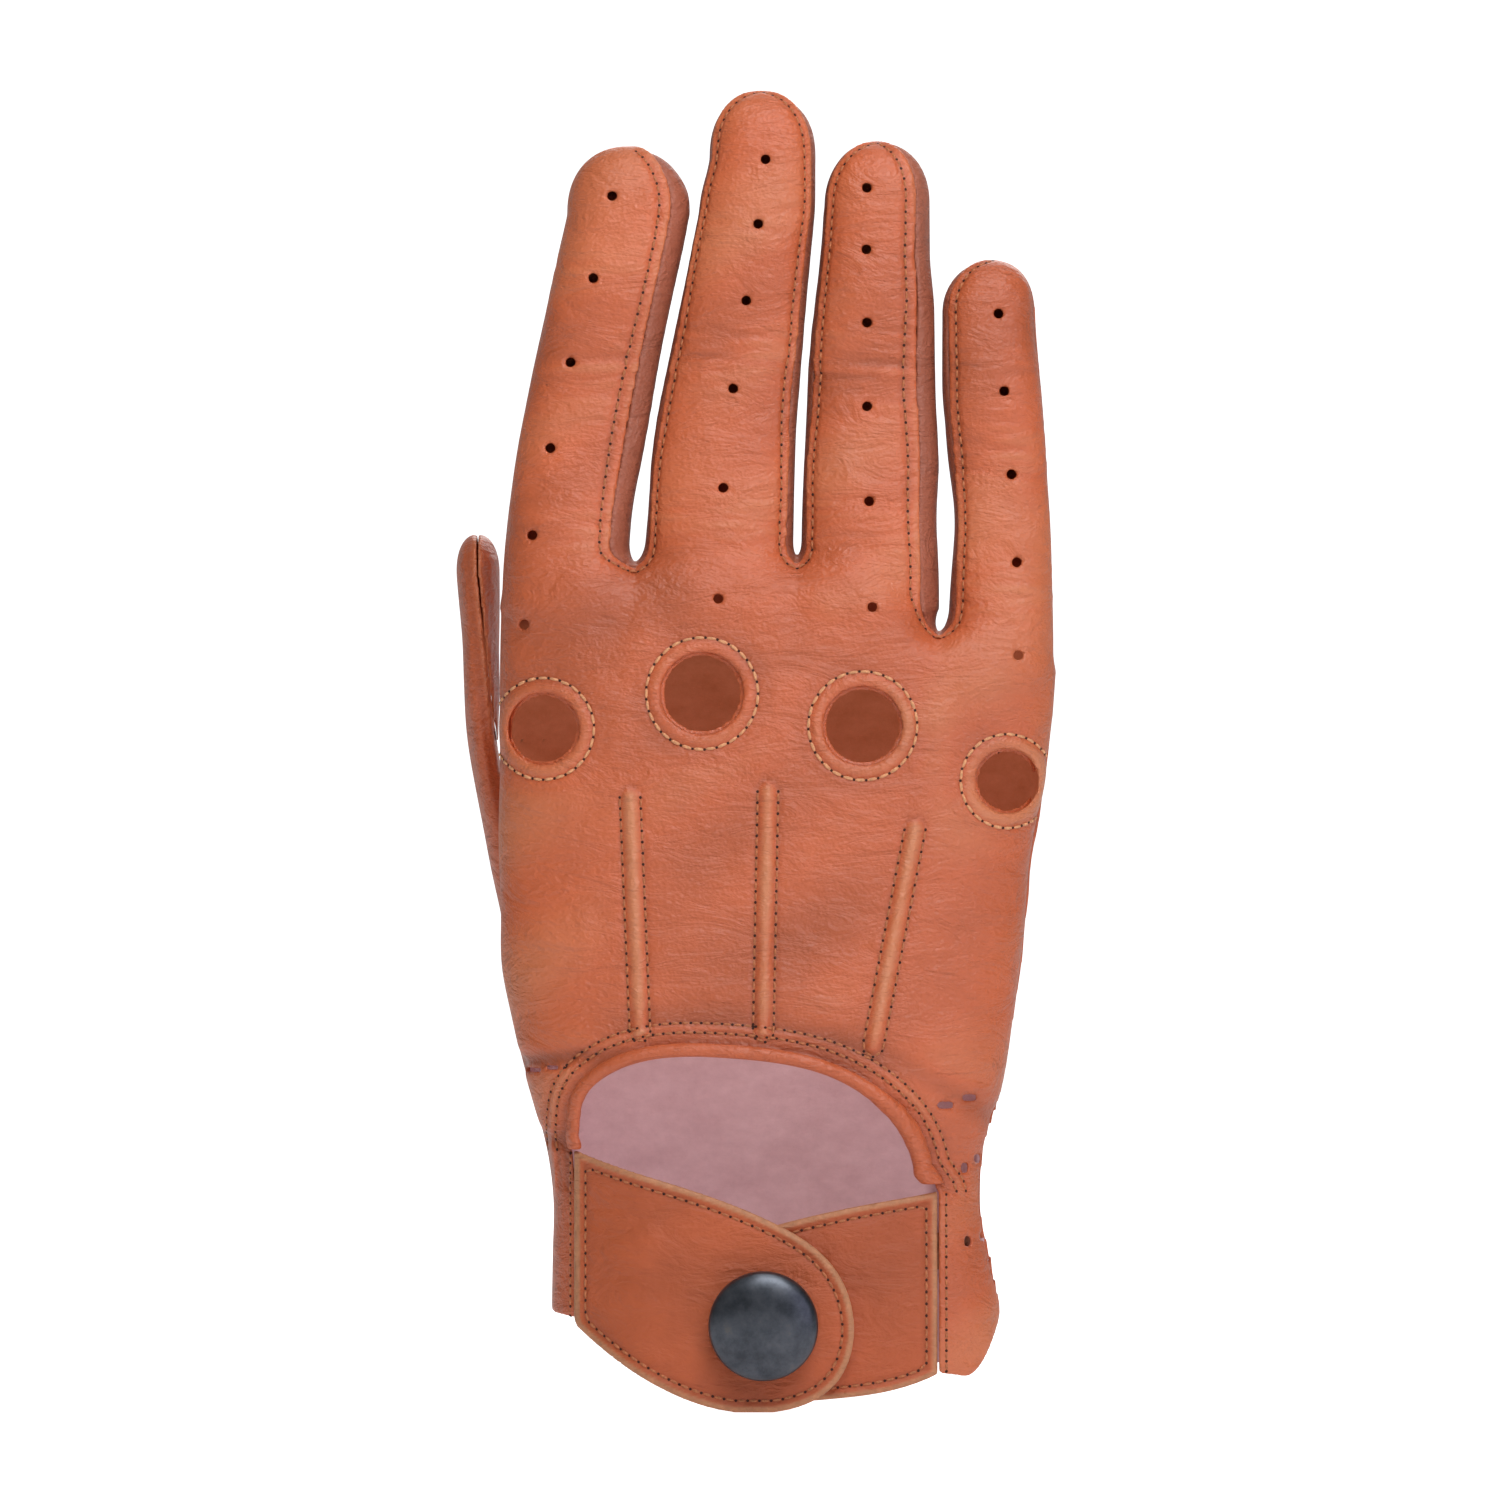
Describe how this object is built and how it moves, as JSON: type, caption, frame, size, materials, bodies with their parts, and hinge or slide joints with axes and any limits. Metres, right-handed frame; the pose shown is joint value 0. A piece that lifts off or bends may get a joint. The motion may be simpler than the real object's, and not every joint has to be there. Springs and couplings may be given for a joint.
{
  "type": "driving glove",
  "caption": "Right-hand unlined leather driving glove with knuckle holes, perforated fingers, raised points, open back of the wrist and a snap strap.",
  "frame": {"origin": "middle of the cuff, level with the lowest edge of the strap", "axes": "+Z from the cuff to the fingertips, back of the hand faces -Y, palm faces +Y, little finger on the +X side, thumb on the -X side"},
  "size_m": [0.103, 0.0531, 0.225],
  "materials": {
    "leather": "satin smooth grain",
    "side_leather": "satin smooth grain",
    "inner_leather": "suede",
    "strap_leather": "satin smooth grain",
    "gunmetal": "satin",
    "elastic": "woven"
  },
  "bodies": {
    "hand": {"hand_back": "leather", "hand_palm": "leather", "thumb_root": "leather", "knuckle_facing_index": "inner_leather", "knuckle_facing_middle": "inner_leather", "knuckle_facing_ring": "inner_leather", "knuckle_facing_little": "inner_leather", "point_left": "leather", "point_middle": "leather", "point_right": "leather", "opening_binding": "leather", "under_strap": "strap_leather", "snap_stud": "gunmetal", "wrist_elastic": "elastic"},
    "knuckles": {"knuckle_back": "leather", "knuckle_palm": "leather", "fourchette_root_index_middle": "side_leather", "fourchette_root_middle_ring": "side_leather", "fourchette_root_ring_little": "side_leather"},
    "index_middle": {"index_middle_back": "leather", "index_middle_palm": "leather", "index_middle_fourchette_right": "side_leather"},
    "index_tip": {"index_tip_back": "leather", "index_tip_palm": "leather", "index_tip_fourchette_right": "side_leather"},
    "middle_middle": {"middle_middle_back": "leather", "middle_middle_palm": "leather", "middle_middle_fourchette_left": "side_leather", "middle_middle_fourchette_right": "side_leather"},
    "middle_tip": {"middle_tip_back": "leather", "middle_tip_palm": "leather", "middle_tip_fourchette_left": "side_leather", "middle_tip_fourchette_right": "side_leather"},
    "ring_middle": {"ring_middle_back": "leather", "ring_middle_palm": "leather", "ring_middle_fourchette_left": "side_leather", "ring_middle_fourchette_right": "side_leather"},
    "ring_tip": {"ring_tip_back": "leather", "ring_tip_palm": "leather", "ring_tip_fourchette_left": "side_leather", "ring_tip_fourchette_right": "side_leather"},
    "little_middle": {"little_middle_back": "leather", "little_middle_palm": "leather", "little_middle_fourchette_left": "side_leather"},
    "little_tip": {"little_tip_back": "leather", "little_tip_palm": "leather", "little_tip_fourchette_left": "side_leather"},
    "thumb": {"thumb_outer_leaf": "leather", "thumb_inner_leaf": "leather"},
    "thumb_tip": {"thumbtip_outer_leaf": "leather", "thumbtip_inner_leaf": "leather"},
    "strap": {"strap_leather": "strap_leather", "strap_backing": "strap_leather", "snap_cap": "gunmetal", "snap_socket": "gunmetal"}
  },
  "joints": [
    {"name": "knuckle_fold", "type": "hinge", "parent": "hand", "child": "knuckles", "pos_m": [0, 0.006, 0.118], "axis": [-1, 0, 0], "range_deg": [0, 60]},
    {"name": "index_fold", "type": "hinge", "parent": "knuckles", "child": "index_middle", "pos_m": [-0.0315, 0.0045, 0.17316], "axis": [-1, 0, 0], "range_deg": [0, 80]},
    {"name": "index_tip_fold", "type": "hinge", "parent": "index_middle", "child": "index_tip", "pos_m": [-0.0315, 0.0045, 0.19506], "axis": [-1, 0, 0], "range_deg": [0, 40]},
    {"name": "middle_fold", "type": "hinge", "parent": "knuckles", "child": "middle_middle", "pos_m": [-0.007, 0.0045, 0.17715], "axis": [-1, 0, 0], "range_deg": [0, 80]},
    {"name": "middle_tip_fold", "type": "hinge", "parent": "middle_middle", "child": "middle_tip", "pos_m": [-0.007, 0.0045, 0.2019], "axis": [-1, 0, 0], "range_deg": [0, 40]},
    {"name": "ring_fold", "type": "hinge", "parent": "knuckles", "child": "ring_middle", "pos_m": [0.0158, 0.0045, 0.17358], "axis": [-1, 0, 0], "range_deg": [0, 80]},
    {"name": "ring_tip_fold", "type": "hinge", "parent": "ring_middle", "child": "ring_tip", "pos_m": [0.0158, 0.0045, 0.19578], "axis": [-1, 0, 0], "range_deg": [0, 40]},
    {"name": "little_fold", "type": "hinge", "parent": "knuckles", "child": "little_middle", "pos_m": [0.038, 0.0045, 0.1585], "axis": [-1, 0, 0], "range_deg": [0, 80]},
    {"name": "little_tip_fold", "type": "hinge", "parent": "little_middle", "child": "little_tip", "pos_m": [0.038, 0.0045, 0.178], "axis": [-1, 0, 0], "range_deg": [0, 40]},
    {"name": "thumb_swing", "type": "hinge", "parent": "hand", "child": "thumb", "pos_m": [-0.0503, 0.017, 0.101], "axis": [0, -1, 0], "range_deg": [0, 50]},
    {"name": "thumb_tip_fold", "type": "hinge", "parent": "thumb", "child": "thumb_tip", "pos_m": [-0.0512, 0.02, 0.124], "axis": [-1, 0, 0], "range_deg": [0, 50]},
    {"name": "strap_opening", "type": "hinge", "parent": "hand", "child": "strap", "pos_m": [-0.0344, -0.01785, 0.03], "axis": [0, 0, -1], "range_deg": [0, 150]}
  ],
  "couplings": [
    {"joint": "index_tip_fold", "follows": "index_fold", "ratio": 0.5},
    {"joint": "middle_tip_fold", "follows": "middle_fold", "ratio": 0.5},
    {"joint": "ring_tip_fold", "follows": "ring_fold", "ratio": 0.5},
    {"joint": "little_tip_fold", "follows": "little_fold", "ratio": 0.5}
  ]
}
